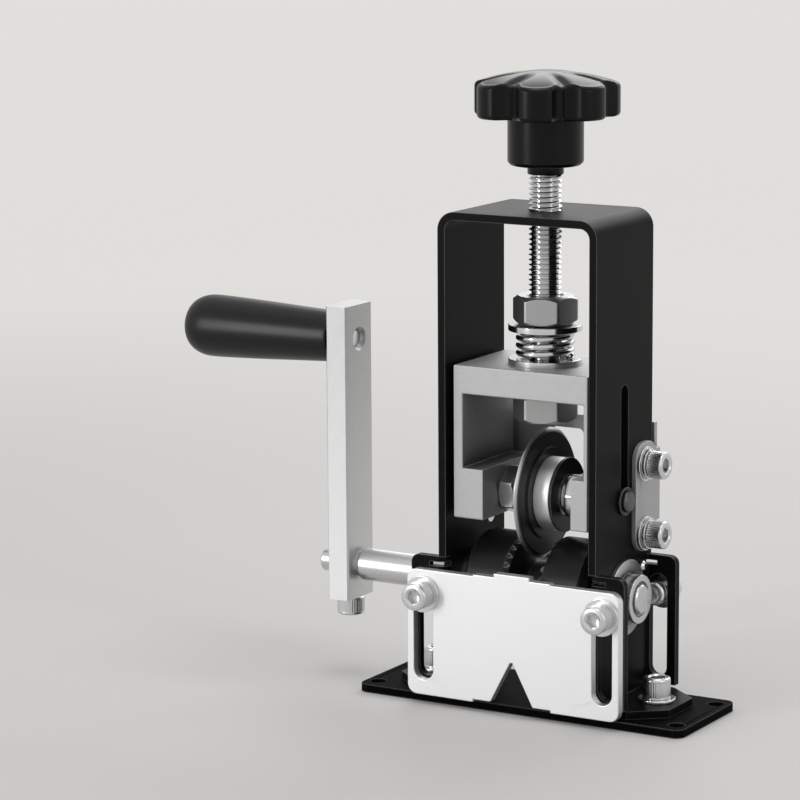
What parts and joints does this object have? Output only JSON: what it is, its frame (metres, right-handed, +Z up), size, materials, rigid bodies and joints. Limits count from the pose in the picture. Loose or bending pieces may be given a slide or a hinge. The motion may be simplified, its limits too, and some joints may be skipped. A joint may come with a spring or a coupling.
{
  "type": "manual wire stripping machine",
  "caption": "Hand-cranked bench wire stripper: black slotted frame, star-knob pressure screw with spring, sliding block with cutting wheel over a grooved roller, front guide plate",
  "frame": {"origin": "middle of the base plate's underside, between its four mounting holes", "axes": "X along the roller shaft with the crank at -X, Y toward the back, Z up"},
  "size_m": [0.1802, 0.0501, 0.1895],
  "materials": {
    "black_coat": "satin powder coat",
    "zinc_screws": "zinc plated",
    "bearing_steel": "satin turned",
    "block_alloy": "matt milled",
    "bright_plate": "bright satin",
    "arm_alloy": "satin",
    "polished_steel": "polished",
    "black_steel": "black oxide",
    "wheel_steel": "gunmetal, ground edge",
    "black_plastic": "semi gloss"
  },
  "bodies": {
    "frame": {"base_plate": "black_coat", "side_frame": "black_coat", "foot_screws": "zinc_screws", "foot_washers": "zinc_screws", "bearing_left": "bearing_steel", "bearing_right": "bearing_steel", "bearing_lock_screws": "zinc_screws", "rear_guide": "block_alloy", "rear_guide_screws": "zinc_screws", "rear_guide_flat_washers": "zinc_screws", "rear_guide_split_washers": "zinc_screws", "front_clamp_screws": "zinc_screws", "front_clamp_washers": "zinc_screws", "front_clamp_nuts": "zinc_screws", "rear_clamp_screws": "zinc_screws", "rear_clamp_washers": "zinc_screws", "rear_clamp_nuts": "zinc_screws"},
    "guide_plate": {"front_guide_plate": "bright_plate"},
    "drive": {"drive_shaft": "polished_steel", "feed_roller": "black_steel", "crank_arm": "arm_alloy", "crank_clamp_screw": "zinc_screws", "grip_pin": "zinc_screws"},
    "crank_grip": {"grip": "black_plastic"},
    "pressure_collar": {"upper_washer": "polished_steel"},
    "pressure_screw": {"knob": "black_plastic", "threaded_rod": "polished_steel", "upper_nut": "polished_steel", "lower_nut": "polished_steel"},
    "press": {"slide_block": "block_alloy", "lower_washer": "polished_steel", "coil_spring": "polished_steel", "guide_screws": "zinc_screws", "guide_washers": "black_steel", "wheel_axle": "zinc_screws", "axle_nut": "polished_steel", "axle_washers": "polished_steel", "axle_spacer": "zinc_screws"},
    "wheel": {"cutting_wheel": "wheel_steel", "wheel_hub": "polished_steel", "hub_cover": "black_steel"}
  },
  "joints": [
    {"name": "crank_turn", "type": "hinge", "parent": "frame", "child": "drive", "pos_m": [0, 0, 0.035], "axis": [1, 0, 0], "continuous": true},
    {"name": "grip_turn", "type": "hinge", "parent": "drive", "child": "crank_grip", "pos_m": [-0.1, 0, 0.1053], "axis": [1, 0, 0], "continuous": true},
    {"name": "screw_travel", "type": "slide", "parent": "frame", "child": "pressure_collar", "axis": [0, 0, 1], "range_m": [-0.0015, 0.021]},
    {"name": "knob_turn", "type": "hinge", "parent": "pressure_collar", "child": "pressure_screw", "pos_m": [0, 0, 0.12], "axis": [0, 0, 1], "range_deg": [-360, 5040]},
    {"name": "press_float", "type": "slide", "parent": "pressure_collar", "child": "press", "axis": [0, 0, 1], "range_m": [0, 0.0015], "stiffness_N_per_m": 3000, "springref_m": -0.002, "deforming": ["coil_spring"]},
    {"name": "wheel_turn", "type": "hinge", "parent": "press", "child": "wheel", "pos_m": [0, 0, 0.064], "axis": [1, 0, 0], "continuous": true},
    {"name": "guide_slide", "type": "slide", "parent": "frame", "child": "guide_plate", "axis": [0, 0, 1], "range_m": [0, 0.012]}
  ],
  "couplings": [
    {"joint": "knob_turn", "follows": "screw_travel", "rad_per_m": 4188.8}
  ]
}
